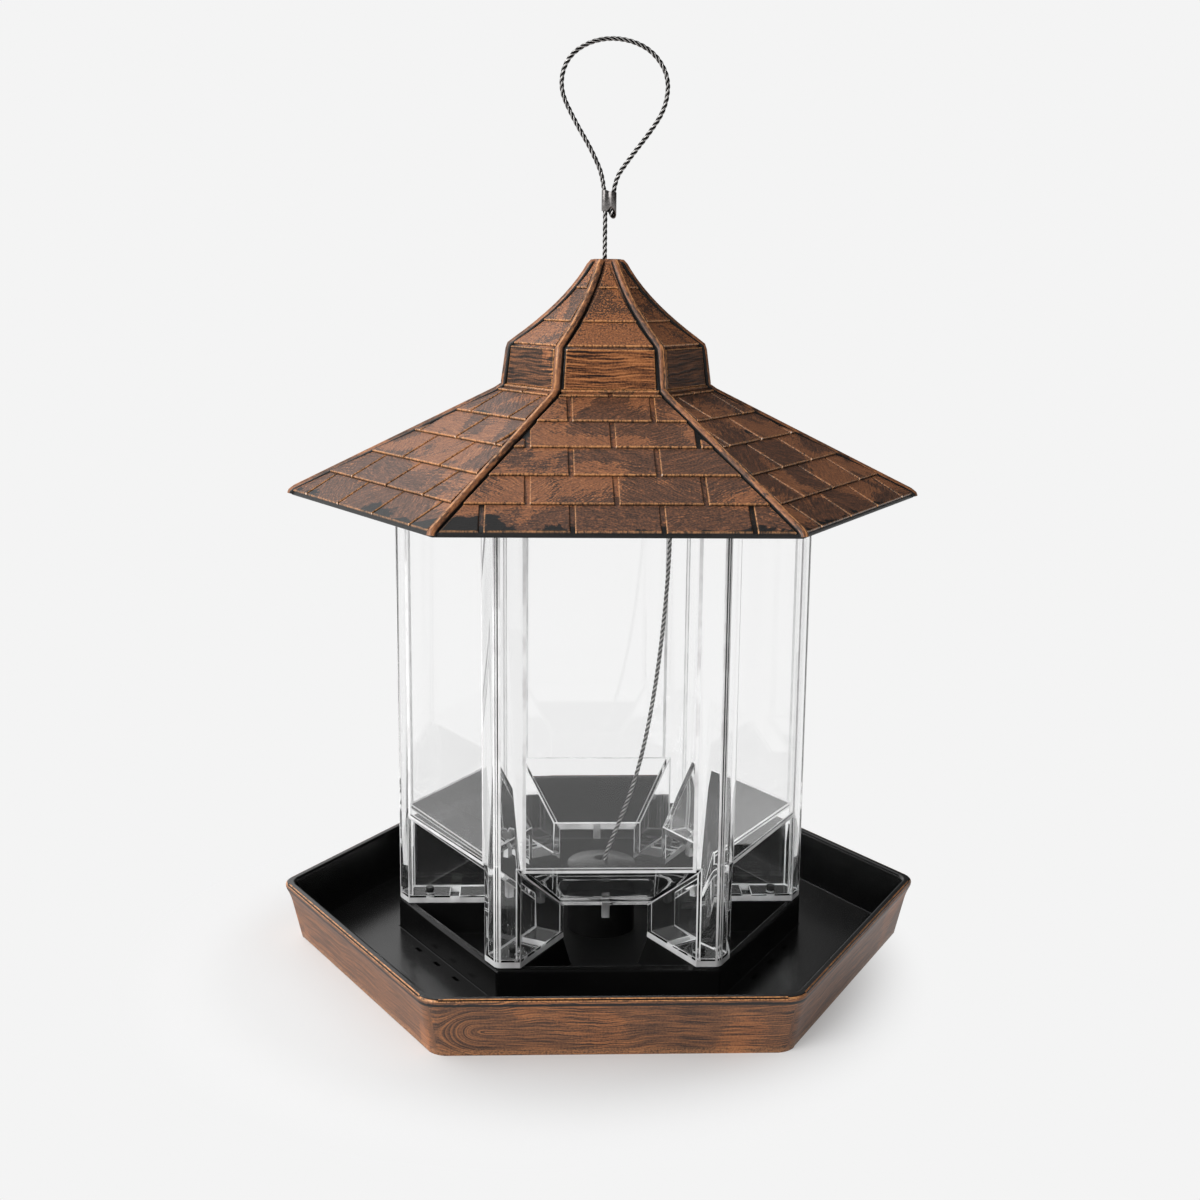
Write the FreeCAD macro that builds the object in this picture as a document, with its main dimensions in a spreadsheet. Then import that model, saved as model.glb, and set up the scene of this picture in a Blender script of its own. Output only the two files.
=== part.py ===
# A hanging six-sided gazebo bird feeder: roof, clear hopper, seed tray and wire rope hanger.
# Millimetres, +Z up, origin under the middle of the tray. Corners lie on the X axis, a flat faces -Y.
import FreeCAD, Part
import math
import os
import re

doc = FreeCAD.newDocument("gazebo_bird_feeder")

# Each corner size is the distance from the axis to a sharp corner of the hexagon.
sizes = {
    # seed tray
    "rim_corner": 106.6,
    "foot_corner": 101.6,
    "tray_height": 19.0,
    "tray_wall": 2.0,
    "tray_floor": 2.5,
    "corner_round": 7.0,
    "lip_depth": 3.0,
    "lip_overhang": 1.0,
    # seat for the hopper inside the tray: a curb, six pads with pegs, and drain slots round them
    "seat_height": 13.2,
    "curb_wall": 2.0,
    "pad_slope": 6.4,
    "peg_place": 57.5,
    "peg_radius": 1.3,
    "peg_rise": 3.6,
    "peg_clearance": 0.2,
    "drain_length": 3.6,
    "drain_width": 1.2,
    "drain_gap": 2.4,
    "drain_pitch": 13.0,
    # hollow centre post of the tray
    "post_radius": 11.3,
    "post_rim": 25.4,
    "post_crown": 1.4,
    "crown_flat": 4.0,
    "post_wall": 2.0,
    "post_deck": 5.4,
    "post_hole_clearance": 1.7,
    # clear hopper
    "hopper_corner": 67.8,
    "hopper_height": 149.2,
    "hopper_wall": 2.0,
    "leg_width": 12.8,
    "leg_floor": 2.0,
    "port_top": 30.2,
    "port_mouth": 10.8,
    "chute_reach": 35.6,
    "tab_width": 2.5,
    "tab_drop": 3.4,
    "snap_slot": 3.0,
    "snap_place": 49.0,
    # roof
    "eave_corner": 100.2,
    "eave_drop": 13.4,
    "eave_edge": 1.4,
    "skirt_height": 33.5,
    "skirt_wall": 2.4,
    "course_lap": 0.7,
    "drum_foot_corner": 32.2,
    "drum_top_corner": 30.7,
    "drum_height": 12.8,
    "cupola_height": 26.9,
    "cupola_dip": 3.2,
    "apex_corner": 4.2,
    "apex_deck": 3.0,
    "roof_wall": 2.0,
    "rib_width": 3.0,
    "rib_rise": 0.8,
    "seat_land": 1.5,
    "ring_depth": 6.0,
    "ring_wall": 1.6,
    "ring_clearance": 0.5,
    # wire rope, its crimp sleeve, and its stop with a washer under the post's deck
    "rope_width": 1.4,
    "sleeve_radius": 1.2,
    "sleeve_pitch": 2.1,
    "sleeve_offset": 0.2,
    "sleeve_length": 7.4,
    "sleeve_clearance": 0.25,
    "neck_length": 13.4,
    "stop_radius": 2.2,
    "stop_length": 4.5,
    "stop_tail": 0.5,
    "washer_radius": 6.0,
    "washer_thick": 1.2,
    "washer_clearance": 0.4,
}
shingleCourses = 5

sheet = doc.addObject("Spreadsheet::Sheet", "sheet")
for row, (alias, value) in enumerate(sizes.items(), 1):
    sheet.set(f"A{row}", alias)
    sheet.set(f"B{row}", str(value))
    sheet.setAlias(f"B{row}", alias)
doc.recompute()

# Sizes that follow from the driving ones, as formulas of the sheet.
hopperFlat = "(hopper_corner * cos(30))"
hopperTop = "(seat_height + hopper_height)"
mouthHalf = "(chute_reach * tan(30) - leg_width / 2 / sin(60))"
legInner = f"(chute_reach * cos(30) + {mouthHalf} * sin(30))"
legOuter = "(hopper_corner - leg_width / 2 / tan(60))"
postTop = "(post_rim + post_crown)"
deckUnder = f"({postTop} - post_deck)"
stopTop = f"({deckUnder} - washer_thick)"
eave = f"({hopperTop} - eave_drop)"
skirtFoot = f"({eave} + eave_edge)"
drumFoot = f"({skirtFoot} + skirt_height)"
drumTop = f"({drumFoot} + drum_height)"
apex = f"({drumTop} + cupola_height)"
cupolaMid = "((drum_top_corner + apex_corner) / 2 - cupola_dip)"
sleeveFoot = f"({apex} + neck_length)"
neckSide = "(sleeve_offset - sleeve_pitch / 2)"
tailSide = "(sleeve_offset + sleeve_pitch / 2)"
sixTurns = range(0, 360, 60)


def formula(text):
    # every size's name in the text, as a cell of the sheet
    return re.sub(r"[a-z][a-z_]+", lambda word: f"sheet.{word[0]}" if word[0] in sizes else word[0], text)


def measured(text):
    return float(sheet.evalExpression(formula(text)))


def add(kind, name, formulas, turn=0, tip=0):
    thing = doc.addObject(kind, name)
    spin = FreeCAD.Rotation(FreeCAD.Vector(0, 0, 1), turn)
    lean = FreeCAD.Rotation(FreeCAD.Vector(1, 0, 0), tip)
    thing.Placement = FreeCAD.Placement(FreeCAD.Vector(), spin.multiply(lean))
    for size, text in formulas.items():
        thing.setExpression(f"Placement.Base.{size}" if size in "xyz" else size, formula(text))
    return thing


def block(name, x, y, z, xFar=None, zFar=None, turn=0, tip=0):
    # a block whose section changes from x, z at its near y to xFar, zFar at its far y
    ends = {"X": x, "Y": y, "Z": z, "X2": xFar or x, "Z2": zFar or z}
    formulas = {side + "min": low for side, (low, high) in ends.items()}
    formulas.update({side + "max": high for side, (low, high) in ends.items()})
    return add("Part::Wedge", name, formulas, turn, tip)


def rod(name, radius, foot, top, x="0", y="0"):
    height = f"{top} - {foot}"
    return add("Part::Cylinder", name, {"Radius": radius, "Height": height, "x": x, "y": y, "z": foot})


def hexagon(name, corner, height, rounding=None):
    outline = add("Part::RegularPolygon", name, {"z": height})
    outline.Polygon = 6
    if rounding is None:
        outline.setExpression("Circumradius", formula(corner))
        return outline
    outline.setExpression("Circumradius", formula(f"{corner} - {rounding} / cos(30)"))
    rounded = doc.addObject("Part::Offset2D", name + "_rounded")
    rounded.Source = outline
    rounded.setExpression("Value", formula(rounding))
    return rounded


def tower(name, levels, rounding=None, ruled=True):
    # a six-sided solid through (corner, height) levels
    loft = doc.addObject("Part::Loft", name)
    loft.Sections = [hexagon(f"{name}_{n}", *level, rounding) for n, level in enumerate(levels)]
    loft.Solid = True
    loft.Ruled = ruled
    return loft


def joined(name, things):
    thing = doc.addObject("Part::MultiFuse", name)
    thing.Shapes = things
    return thing


def shared(name, things):
    thing = doc.addObject("Part::MultiCommon", name)
    thing.Shapes = things
    return thing


def less(name, base, tools):
    thing = doc.addObject("Part::Cut", name)
    thing.Base = base
    thing.Tool = tools[0] if len(tools) == 1 else joined(name + "_tools", tools)
    return thing


def around(text, turn):
    # the x and y formulas of a point that far out along a direction
    return f"({text}) * cos({turn})", f"({text}) * sin({turn})"


def seedTray():
    sideTop = "(tray_height - lip_depth)"
    sideCorner = "(rim_corner - lip_overhang / cos(30))"
    wallCorner = "tray_wall / cos(30)"
    side = tower("tray_side", [("foot_corner", "0"), (sideCorner, sideTop)], "corner_round")
    lip = tower("tray_lip", [("rim_corner", sideTop), ("rim_corner", "tray_height")], "corner_round")
    hollow = tower("tray_hollow", [(f"foot_corner - {wallCorner}", "tray_floor"),
                                   (f"{sideCorner} - {wallCorner}", "tray_height")],
                   "(corner_round - tray_wall)")
    dish = less("tray_dish", joined("tray_outside", [side, lip]), [hollow])

    curb = less("curb", tower("curb_outside", [("hopper_corner", "0"), ("hopper_corner", "seat_height")]),
                [tower("curb_inside", [("hopper_corner - curb_wall / cos(30)", "0"),
                                       ("hopper_corner - curb_wall / cos(30)", "seat_height")])])
    post = rod("post", "post_radius", "0", "post_rim")
    crown = add("Part::Cone", "post_cap", {"Radius1": "post_radius", "Radius2": "crown_flat",
                                            "Height": "post_crown", "z": "post_rim"})
    raised = [dish, curb, post, crown]
    cuts = [rod("post_core", "post_radius - post_wall", "0", deckUnder),
            rod("post_bore", "rope_width / 2 + post_hole_clearance", "0", f"({postTop} + post_crown)")]
    padHalf = ("-leg_width / 2", "leg_width / 2")
    coreHalf = ("tray_wall - leg_width / 2", "leg_width / 2 - tray_wall")
    coreOuter = f"{legOuter} - 2 * tray_wall"
    for turn in sixTurns:
        raised.append(block(f"pad_{turn}", (f"{legInner} - pad_slope", legOuter), ("0", "seat_height"),
                            padHalf, xFar=(legInner, legOuter), turn=turn, tip=90))
        cuts.append(block(f"pad_core_{turn}", (f"{legInner} - pad_slope + 2 * tray_wall", coreOuter),
                          ("0", "seat_height - tray_wall"), coreHalf,
                          xFar=(f"{legInner} + tray_wall", coreOuter), turn=turn, tip=90))
        pegX, pegY = around("peg_place", turn)
        raised.append(rod(f"peg_{turn}", "peg_radius", "(seat_height - tray_wall)",
                          "(seat_height + peg_rise)", pegX, pegY))
        for n in (-1, 0, 1):
            middle = f"({n} * drain_pitch)"
            cuts.append(block(f"drain_{turn}_{n + 1}",
                              (f"{middle} - drain_length / 2", f"{middle} + drain_length / 2"),
                              (f"-{hopperFlat} - drain_gap - drain_width", f"-{hopperFlat} - drain_gap"),
                              ("0", "tray_floor"), turn=turn))
    return less("seed_tray", joined("tray_solid", raised), cuts)


def clearHopper():
    # the wall's height over a sloped chute
    chuteWall = ("(hopper_wall * sqrt(1 + ((port_top - port_mouth) / "
                 f"({hopperFlat} - chute_reach))^2))")
    innerCorner = "(hopper_corner - hopper_wall / cos(30))"
    outside = tower("hopper_outside", [("hopper_corner", "seat_height"), ("hopper_corner", hopperTop)])
    inside = tower("hopper_inside", [(innerCorner, "(seat_height + leg_floor)"), (innerCorner, hopperTop)])

    ports = []
    chutes = []
    tabs = []
    floorCuts = [rod("hopper_throat", f"sqrt(chute_reach^2 + {mouthHalf}^2)", "seat_height",
                     "(seat_height + leg_floor)")]
    for turn in sixTurns:
        for name, into, leg, rise in (("port", ports, "leg_width / 2", "0"),
                                      ("chute", chutes, "(leg_width / 2 - hopper_wall)", chuteWall)):
            face = f"(hopper_corner / 2 - {leg} / sin(60))"
            mouth = f"(chute_reach * tan(30) - {leg} / sin(60))"
            into.append(block(f"{name}_{turn}", (f"-{face}", face), (f"-{hopperFlat}", "-chute_reach"),
                              ("seat_height", f"seat_height + port_top + {rise}"),
                              xFar=(f"-{mouth}", mouth),
                              zFar=("seat_height", f"seat_height + port_mouth + {rise}"), turn=turn))
        tabs.append(block(f"tab_{turn}", ("-tab_width / 2", "tab_width / 2"),
                          ("-chute_reach - hopper_wall", "-chute_reach"),
                          ("seat_height + port_mouth - tab_drop", "seat_height + port_mouth + hopper_wall"),
                          turn=turn))
        holeX, holeY = around("peg_place", turn)
        floorCuts.append(rod(f"peg_hole_{turn}", "peg_radius + peg_clearance", "seat_height",
                             "(seat_height + leg_floor)", holeX, holeY))
        floorCuts.append(block(f"snap_slot_{turn}",
                               ("snap_place - snap_slot / 2", "snap_place + snap_slot / 2"),
                               ("hopper_wall - leg_width / 2", "leg_width / 2 - hopper_wall"),
                               ("seat_height", "seat_height + leg_floor"), turn=turn))
    walls = less("hopper_walls", outside, ports)
    cavity = less("hopper_cavity", inside, chutes)
    return joined("hopper", [less("hopper_shell", walls, [cavity] + floorCuts)] + tabs)


def roofLevels(grown):
    # corner and height of the roof's surface, grown outwards, from the eave to the drum's top
    return [(f"(eave_corner + {grown})", eave), (f"(eave_corner + {grown})", skirtFoot),
            (f"(drum_foot_corner + {grown})", drumFoot), (f"(drum_top_corner + {grown})", drumTop)]


def cupola(name, grown, top, topCorner):
    middle = (f"({cupolaMid} + {grown})", f"(({drumTop} + {apex}) / 2)")
    return tower(name, [(f"(drum_top_corner + {grown})", drumTop), middle, (topCorner, top)], ruled=False)


def roofShell():
    eaveBand = tower("eave_band", [("eave_corner", eave), ("eave_corner", skirtFoot)])
    courses = []
    for n in range(shingleCourses):
        low, high = (f"(drum_foot_corner + (eave_corner - drum_foot_corner) * {1 - k / shingleCourses})"
                     for k in (n, n + 1))
        lowZ, highZ = (f"({skirtFoot} + skirt_height * {k / shingleCourses})" for k in (n, n + 1))
        lap = "0" if n == 0 else "course_lap / cos(30)"
        courses.append(tower(f"course_{n + 1}", [(f"{low} + {lap}", lowZ), (high, highZ)]))
    drum = tower("drum", roofLevels("0")[2:])
    tip = cupola("cupola", "0", apex, "apex_corner")
    outside = joined("roof_outside", [eaveBand] + courses + [drum, tip])

    # ridge beads: what a slightly larger roof has inside three upright plates through opposite corners
    larger = joined("rib_reach", [tower("rib_skirt", roofLevels("rib_rise")[1:3]),
                                  tower("rib_drum", roofLevels("rib_rise")[2:]),
                                  cupola("rib_cupola", "rib_rise", apex, "(apex_corner + rib_rise)")])
    plates = joined("rib_plates", [block(f"rib_plate_{turn}", ("-eave_corner", "eave_corner"),
                                         ("-rib_width / 2", "rib_width / 2"), (eave, apex), turn=turn)
                                   for turn in (0, 60, 120)])
    ribs = shared("ribs", [larger, plates])

    skirtHollow = tower("skirt_hollow", [("eave_corner", f"({skirtFoot} - skirt_wall)"),
                                         ("drum_foot_corner", f"({drumFoot} - skirt_wall)")])
    wallCorner = "roof_wall / cos(30)"
    drumHollow = tower("drum_hollow", [(f"drum_foot_corner - {wallCorner}", f"({drumFoot} - skirt_wall)"),
                                       (f"drum_top_corner - {wallCorner}", drumTop)])
    tipHollow = cupola("cupola_hollow", f"(0 - {wallCorner})", f"({apex} - apex_deck)", "apex_corner")
    bore = rod("apex_bore", "sleeve_pitch / 2 + sleeve_offset + sleeve_radius + sleeve_clearance",
               drumTop, f"({apex} + apex_deck)")
    hollows = [skirtHollow, drumHollow, tipHollow, bore]
    shell = less("roof_walls", joined("roof_solid", [outside, ribs]), hollows)

    # under the skirt: a land that rests on the hopper's rim, and a ring that stands inside the rim
    innerCorner = "(hopper_corner - hopper_wall / cos(30))"
    ringCorner = f"({innerCorner} - ring_clearance / cos(30))"
    ringInner = f"({ringCorner} - ring_wall / cos(30))"
    landCorner = "(hopper_corner + seat_land)"
    land = tower("land", [(landCorner, hopperTop), (landCorner, drumFoot)])
    ring = tower("ring", [(ringCorner, f"({hopperTop} - ring_depth)"), (ringCorner, drumFoot)])
    ringBore = tower("ring_bore", [(ringInner, f"({hopperTop} - ring_depth)"), (ringInner, drumFoot)])
    seat = shared("roof_seat", [less("seat_rings", joined("seat_solid", [land, ring]), [ringBore]), outside])
    return joined("roof_shell", [shell, seat])


def ropePath(name, points):
    # straight runs joined by tangent arcs, which take most of half of the runs beside them
    arcShare = 0.45
    points = [FreeCAD.Vector(x, 0, z) for x, z in points]
    edges = []
    radii = []
    start = points[0]
    for before, corner, after in zip(points, points[1:], points[2:]):
        back, on = before - corner, after - corner
        turn = math.pi - back.getAngle(on)
        tangent = arcShare * min(back.Length, on.Length)
        radius = tangent / math.tan(turn / 2)
        inward = corner + back.normalize() * tangent
        outward = corner + on.normalize() * tangent
        toMiddle = (back + on).normalize()
        middle = corner + toMiddle * (radius / math.cos(turn / 2) - radius)
        edges += [Part.LineSegment(start, inward).toShape(), Part.Arc(inward, middle, outward).toShape()]
        radii.append(round(radius, 1))
        start = outward
    edges.append(Part.LineSegment(start, points[-1]).toShape())
    path = doc.addObject("Part::Feature", name)
    path.Shape = Part.Wire(edges)
    print(name, "length", round(path.Shape.Length, 1), "bend radii", radii)
    return path


def wireRope(name, points):
    path = ropePath(name + "_path", points)
    section = add("Part::Circle", name + "_section", {"Radius": "rope_width / 2"})
    section.Placement.Base = FreeCAD.Vector(points[0][0], 0, points[0][1])
    rope = doc.addObject("Part::Sweep", name)
    rope.Sections = [section]
    rope.Spine = (path, [f"Edge{n + 1}" for n in range(len(path.Shape.Edges))])
    rope.Solid = True
    doc.recompute()
    area = math.pi * measured("rope_width / 2") ** 2
    print(name, "volume over section times length", round(rope.Shape.Volume / (area * path.Shape.Length), 4))
    return rope


# The rope's stretch inside the hopper, as (side, height) points: slack, it bows towards +X.
ropeTop = measured(apex)
ropeFoot = measured(stopTop) - measured("stop_length") - measured("stop_tail")
neckX = measured(neckSide)
bow = [(4.9, 36.5), (10.8, 52.5), (14.9, 70.5), (18.0, 91.0), (20.2, 113.0), (21.4, 135.0), (20.9, 155.0)]
bowUnderApex = [(18.6, -50.6), (14.6, -35.6), (9.0, -23.1), (2.8, -13.1), (neckX, -5.1), (neckX, 0.0)]
innerRoute = [(0.0, ropeFoot), (0.0, 24.2)] + bow + [(x, ropeTop + z) for x, z in bowUnderApex]

# The rope above the roof's tip, as (side, height over the tip) points: neck, loop and tail.
loop = [(-4.8, 32.2), (-11.0, 42.2), (-15.3, 51.2), (-13.1, 60.1), (-5.3, 65.3), (4.3, 66.0), (13.1, 62.6),
        (18.4, 54.9), (17.5, 45.6), (12.7, 38.2), (6.3, 30.2)]
tailX = measured(tailSide)
neck, tail = [(neckX, 0.0), (neckX, 22.9)], [(tailX, 22.8), (tailX, 13.0)]
loopRoute = [(x, ropeTop + z) for x, z in neck + loop + tail]


def loopFerrule():
    top = f"({sleeveFoot} + sleeve_length)"
    web = block("sleeve_web", (neckSide, tailSide), ("-rope_width / 2", "rope_width / 2"), (sleeveFoot, top))
    barrels = [rod(f"sleeve_{name}", "sleeve_radius", sleeveFoot, top, side)
               for name, side in (("neck", neckSide), ("tail", tailSide))]
    bores = [rod(f"sleeve_bore_{name}", "rope_width / 2", sleeveFoot, top, side)
             for name, side in (("neck", neckSide), ("tail", tailSide))]
    return less("loop_ferrule", joined("sleeve_solid", barrels + [web]), bores)


def cableStop():
    foot = f"({stopTop} - stop_length)"
    return less("cable_stop", rod("stop_solid", "stop_radius", foot, stopTop),
                [rod("stop_bore", "rope_width / 2", foot, stopTop)])


def stopWasher():
    return less("stop_washer", rod("washer_solid", "washer_radius", stopTop, deckUnder),
                [rod("washer_bore", "rope_width / 2 + washer_clearance", stopTop, deckUnder)])


nodes = [roofShell(), clearHopper(), seedTray(), wireRope("cable_inner", innerRoute),
         wireRope("cable_loop", loopRoute), loopFerrule(), cableStop(), stopWasher()]
doc.recompute()

for thing in doc.Objects:
    if "Invalid" in thing.State or "Error" in thing.State:
        raise RuntimeError(f"{thing.Name} failed: {thing.State}")
for node in nodes:
    if node.Shape.isNull() or not node.Shape.isValid() or not node.Shape.Solids:
        raise RuntimeError(f"{node.Name} is not a valid solid")

os.makedirs("parts", exist_ok=True)
for node in nodes:
    node.Label = node.Name
    node.Shape.exportStep(f"parts/{node.Label}.step")
    box = node.Shape.BoundBox
    print(node.Label, len(node.Shape.Solids), "solid,", round(node.Shape.Volume / 1000, 2), "cm3, box",
          [round(v, 1) for v in (box.XMin, box.YMin, box.ZMin, box.XMax, box.YMax, box.ZMax)])
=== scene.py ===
# Looks of a hanging gazebo bird feeder, dressed over its fixed frame. Sizes in the dictionaries are millimetres,
# apart from the studio's.
import bpy
import bmesh
import math
from mathutils import Matrix, Vector


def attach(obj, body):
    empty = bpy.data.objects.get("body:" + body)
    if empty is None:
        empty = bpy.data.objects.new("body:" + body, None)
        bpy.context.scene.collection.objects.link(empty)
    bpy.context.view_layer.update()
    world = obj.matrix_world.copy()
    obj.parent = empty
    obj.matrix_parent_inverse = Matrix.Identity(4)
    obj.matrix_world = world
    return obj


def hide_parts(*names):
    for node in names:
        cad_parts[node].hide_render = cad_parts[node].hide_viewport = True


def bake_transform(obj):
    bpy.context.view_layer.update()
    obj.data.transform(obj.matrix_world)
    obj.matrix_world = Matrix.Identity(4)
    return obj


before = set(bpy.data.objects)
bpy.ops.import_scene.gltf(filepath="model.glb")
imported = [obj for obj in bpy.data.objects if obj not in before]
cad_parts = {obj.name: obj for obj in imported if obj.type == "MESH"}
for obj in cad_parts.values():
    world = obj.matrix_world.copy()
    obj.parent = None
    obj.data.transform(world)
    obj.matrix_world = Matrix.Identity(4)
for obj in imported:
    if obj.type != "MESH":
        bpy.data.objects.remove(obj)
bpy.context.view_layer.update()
mm = 0.001
sides = 6
sixth = math.tau / sides
slant = math.cos(sixth / 2)   # a hexagon's flat distance over its corner distance
white, black = "#ffffff", "#000000"


def linear(hexColour):
    channels = [int(hexColour[n:n + 2], 16) / 255 for n in (1, 3, 5)]
    return tuple(c / 12.92 if c <= 0.04045 else ((c + 0.055) / 1.055) ** 2.4 for c in channels) + (1.0,)


def setInputs(tree, node, inputs):
    # an input is a value, another node's output, or a node, which stands for the first output it has in use
    for socket, value in inputs.items():
        if isinstance(value, bpy.types.Node):
            value = next(output for output in value.outputs if output.enabled)
        if isinstance(value, bpy.types.NodeSocket):
            tree.links.new(value, node.inputs[socket])
        else:
            node.inputs[socket].default_value = value


def add(tree, kind, inputs=None, stops=(), **settings):
    made = tree.nodes.new("ShaderNode" + kind)
    for name, value in settings.items():
        setattr(made, name, value)
    for n, (position, colour) in enumerate(stops):
        stop = made.color_ramp.elements[n] if n < 2 else made.color_ramp.elements.new(position)
        stop.position, stop.color = position, linear(colour)
    setInputs(tree, made, inputs or {})
    return made


def startMaterial(name):
    material = bpy.data.materials.new(name)
    material.use_nodes = True
    tree = material.node_tree
    return material, tree, tree.nodes["Principled BSDF"]


def per(size):
    return 1 / (size * mm)   # a texture scale whose features are about that many millimetres


def intoScene(name, data):
    thing = bpy.data.objects.new(name, data)
    bpy.context.scene.collection.objects.link(thing)
    return thing


# Black polypropylene, moulded with a grain and dry-brushed with copper-brown paint: a thin brown coat with orange on
# the raised grain, thick orange patches, black where the brush missed, bright and shinier where an edge was rubbed.
# On top of that, shade is painted black into joints, gaps and under edges, highlights are painted on lit edges, and
# white glints are painted at rubbed corners.
def brushedCopper(name, look):
    material, tree, skin = startMaterial(name)
    place = add(tree, "Attribute", attribute_name="grainPlace").outputs["Vector"]
    rubAndHighlight, bareAndShade, worn, calm = (add(tree, "Attribute", attribute_name=layer).outputs["Fac"]
                             for layer in ("rubAndHighlight", "bareAndShade", "worn", "calm"))
    inPlace = add(tree, "TexCoord").outputs["Object"]
    whole = add(tree, "VectorMath", {0: inPlace, 1: (-1.0, 1.0, 1.0)}, operation="MULTIPLY")

    wander = add(tree, "TexNoise", {"Vector": place, "Scale": per(look["sweep"]), "Detail": 4.0})
    bent = add(tree, "VectorMath", {0: wander.outputs["Color"], 1: (0.5, 0.5, 0.5)}, operation="SUBTRACT")
    bend = add(tree, "VectorMath", {0: bent, 1: (0.0, look["sway"] * mm, 0.0)}, operation="MULTIPLY")
    swept = add(tree, "VectorMath", {0: place, 1: bend}, operation="ADD")
    if look["knot"]:
        # the grain of a board with a knot near the left end of the front side: half rings that open into long lines
        x, y, z = add(tree, "SeparateXYZ", {0: swept}).outputs
        onSide = add(tree, "Math", {0: x, 1: look["knot"][0] * mm}, operation="SUBTRACT")
        fromKnot = add(tree, "Math", {0: onSide, 1: z}, operation="ADD")
        reach, rise = (size * mm for size in look["knotSize"])
        flat = add(tree, "MapRange", {"Value": fromKnot, "From Min": -reach, "From Max": 0.0, "To Min": -rise,
                                      "To Max": 0.0}, interpolation_type="SMOOTHSTEP")
        high = add(tree, "Math", {0: y, 1: look["knot"][1] * mm}, operation="SUBTRACT")
        around = add(tree, "CombineXYZ", {0: flat, 1: high})
        rings = add(tree, "VectorMath", {0: around}, operation="LENGTH")
        swept = add(tree, "CombineXYZ", {0: x, 1: rings, 2: z})
    strokeLength, strokeWidth = look["stroke"]
    along = add(tree, "VectorMath", {0: swept, 1: (per(strokeLength), per(strokeWidth), per(strokeLength))},
                operation="MULTIPLY")
    stroke = add(tree, "TexNoise", {"Vector": along, "Scale": 1.0, "Detail": 4.0, "Roughness": 0.6})
    pebble = add(tree, "TexNoise", {"Vector": place, "Scale": per(look["pebble"]), "Detail": 2.0, "Roughness": 0.6})
    patch = add(tree, "TexNoise", {"Vector": whole, "Scale": per(look["patch"]), "Detail": 5.0, "Roughness": 0.5,
                                   "Distortion": 0.8})
    gone = add(tree, "TexNoise", {"Vector": whole, "Scale": per(look["lost"]), "Detail": 5.0, "Roughness": 0.6,
                                  "Distortion": 1.0})

    rough = add(tree, "Mix", {"Factor": look["strokeShare"], "A": pebble, "B": stroke})
    # some walls took the paint more evenly than others
    grain = add(tree, "Mix", {"Factor": calm, "A": rough, "B": look["even"]})
    ragged = add(tree, "MapRange", {"Value": grain, "To Min": -look["ragged"], "To Max": look["ragged"]})
    thin, thick = (add(tree, "ValToRGB", {"Fac": grain}, stops=zip(look["stops"], look[coat]))
                   for coat in ("thin", "thick"))
    brushed = add(tree, "Math", {0: patch, 1: ragged}, operation="ADD")
    kept = add(tree, "Math", {0: worn, 1: -look["thinning"], 2: brushed}, operation="MULTIPLY_ADD")
    covered = add(tree, "ValToRGB", {"Fac": kept},
                  stops=[(look["thickFrom"], black), (look["thickFrom"] + look["thickFade"], white)])
    coat = add(tree, "Mix", {"Factor": covered, 6: thin, 7: thick}, data_type="RGBA")

    chipped = add(tree, "Math", {0: worn, 1: look["chipping"], 2: gone}, operation="MULTIPLY_ADD")
    lost = add(tree, "ValToRGB", {"Fac": chipped},
               stops=[(look["lostFrom"], black), (look["lostFrom"] + look["lostFade"], white)])
    # bare plastic where the brush missed, together with painted shade, made ragged along the grain
    missAndShade = add(tree, "Math", {0: ragged, 1: -look["missShadeRagged"], 2: bareAndShade}, operation="MULTIPLY_ADD", use_clamp=True)
    missedAndShaded = add(tree, "ValToRGB", {"Fac": missAndShade}, stops=zip(look["missedAndShaded"], (black, white)))
    uncoveredAndShaded = add(tree, "Math", {0: lost, 1: missedAndShaded}, operation="MAXIMUM")
    under = add(tree, "Mix", {"Factor": uncoveredAndShaded, 6: coat, 7: linear(look["plastic"])}, data_type="RGBA")
    # rubbed paint together with painted highlights on lit edges; beyond a full rub, a painted white glint
    raggedRubAndHighlight = add(tree, "MapRange", {"Value": pebble, "From Min": look["rubHighlightGrain"][0],
                                       "From Max": look["rubHighlightGrain"][1], "To Min": look["leastRubHighlight"], "To Max": 1.0})
    rubbedAndHighlit = add(tree, "Math", {0: rubAndHighlight, 1: raggedRubAndHighlight}, operation="MULTIPLY")
    edged = add(tree, "Mix", {"Factor": rubbedAndHighlit, 6: under, 7: linear(look["edge"])}, data_type="RGBA")
    glint = add(tree, "Math", {0: rubbedAndHighlit, 1: 1.0}, operation="SUBTRACT", use_clamp=True)
    colour = add(tree, "Mix", {"Factor": glint, 6: edged, 7: linear(look["glint"])}, data_type="RGBA")

    relief = add(tree, "Bump", {"Height": grain, "Strength": look["bump"], "Distance": look["relief"] * mm})
    dull = add(tree, "MapRange", {"Value": grain, "To Min": look["dull"][0], "To Max": look["dull"][1]})
    gloss = add(tree, "Mix", {"Factor": rubbedAndHighlit, "A": dull, "B": look["polished"]})
    setInputs(tree, skin, {"Base Color": colour, "Roughness": gloss, "Normal": relief, "IOR": 1.5,
                           "Specular IOR Level": look["shine"]})
    return material


# Polystyrene, injection moulded in a polished tool: clear and glossy.
def clearStyrene():
    material, tree, skin = startMaterial("clear_polished_styrene")
    setInputs(tree, skin, {"Base Color": linear(white), "Roughness": 0.0, "IOR": 1.5, "Transmission Weight": 0.995})
    rays = add(tree, "LightPath").outputs
    clear = add(tree, "BsdfTransparent", {"Color": linear("#f4f5f5")})
    lets = add(tree, "MixShader", {0: rays["Is Shadow Ray"], 1: skin, 2: clear})   # lets the lamps in
    setInputs(tree, tree.nodes["Material Output"], {"Surface": lets})
    return material


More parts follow.
